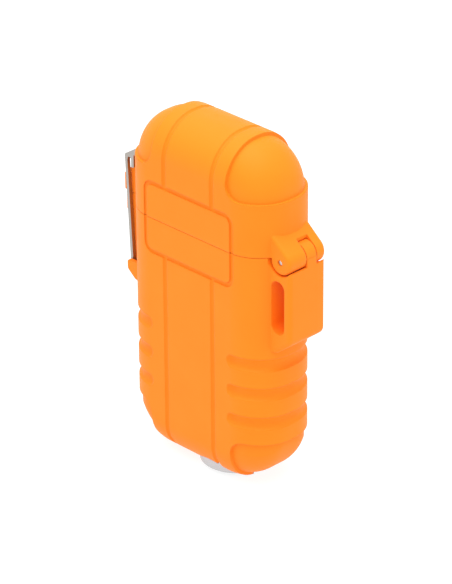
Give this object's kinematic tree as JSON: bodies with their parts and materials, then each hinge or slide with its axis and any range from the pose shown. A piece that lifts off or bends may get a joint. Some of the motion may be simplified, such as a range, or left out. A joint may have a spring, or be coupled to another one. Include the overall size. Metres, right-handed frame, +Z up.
{
  "type": "waterproof pocket lighter",
  "caption": "Round-ended orange pocket lighter with a hinged lid, steel locking bail, finger grooves, lanyard loop, arc head under the lid and a round torch lens in the foot.",
  "frame": {"origin": "centre of the bounding box at its lowest level, which is the foot of the body", "axes": "+Z up through the closed lid, hinge and lanyard loop at +X, steel bail at -X, front face towards -Y"},
  "size_m": [0.0514, 0.0198, 0.0805],
  "materials": {
    "orange_shell": "soft-touch matt",
    "black_plastic": "fine texture",
    "grey_plastic": "moulded",
    "steel": "satin",
    "deck_steel": "brushed",
    "tungsten": "dull",
    "chrome": "bright",
    "ceramic": "fired white",
    "silicone": "matt",
    "component_black": "moulded",
    "board_green": "solder mask",
    "board_white": "solder mask",
    "lamp": "diffuse",
    "cell_foil": "foil",
    "foam": "open foam",
    "wire_red": "silicone sleeve",
    "clear_lens": "clear",
    "emitter": "phosphor"
  },
  "bodies": {
    "base": {"base_shell": "orange_shell", "hinge_pin": "steel", "bail_pin": "steel", "neck": "black_plastic", "lid_seal": "silicone", "deck_plate": "deck_steel", "deck_screws": "steel", "arc_head": "ceramic", "electrodes": "tungsten", "electrode_sleeves": "ceramic", "tact_switch": "component_black", "top_board": "board_green", "charge_socket": "steel", "charge_tongue": "component_black", "status_lamp": "lamp", "chassis": "grey_plastic", "battery": "cell_foil", "battery_pad": "foam", "main_board": "board_green", "board_parts": "component_black", "board_screws": "steel", "hv_converter": "component_black", "hv_leads": "wire_red", "battery_leads": "wire_red", "torch_leads": "wire_red", "lens_bezel": "chrome", "torch_lens": "clear_lens", "lens_gasket": "silicone", "reflector": "chrome", "torch_board": "board_white", "torch_emitter": "emitter"},
    "lid": {"lid_shell": "orange_shell", "lid_liner": "black_plastic"},
    "bail_frame": {"bail": "steel"},
    "button": {"power_button": "black_plastic"}
  },
  "joints": [
    {"name": "lid_open", "type": "hinge", "parent": "base", "child": "lid", "pos_m": [0.0228, 0, 0.0566], "axis": [0, 1, 0], "range_deg": [0, 100]},
    {"name": "bail_swing", "type": "hinge", "parent": "base", "child": "bail_frame", "pos_m": [-0.0215, 0, 0.04], "axis": [0, -1, 0], "range_deg": [0, 153]},
    {"name": "power_button_press", "type": "slide", "parent": "base", "child": "button", "axis": [0, 0, -1], "range_m": [0, 0.0004], "stiffness_N_per_m": 1500}
  ],
  "couplings": [
    {"joint": "bail_swing", "follows": "lid_open", "ratio": 1.5}
  ]
}
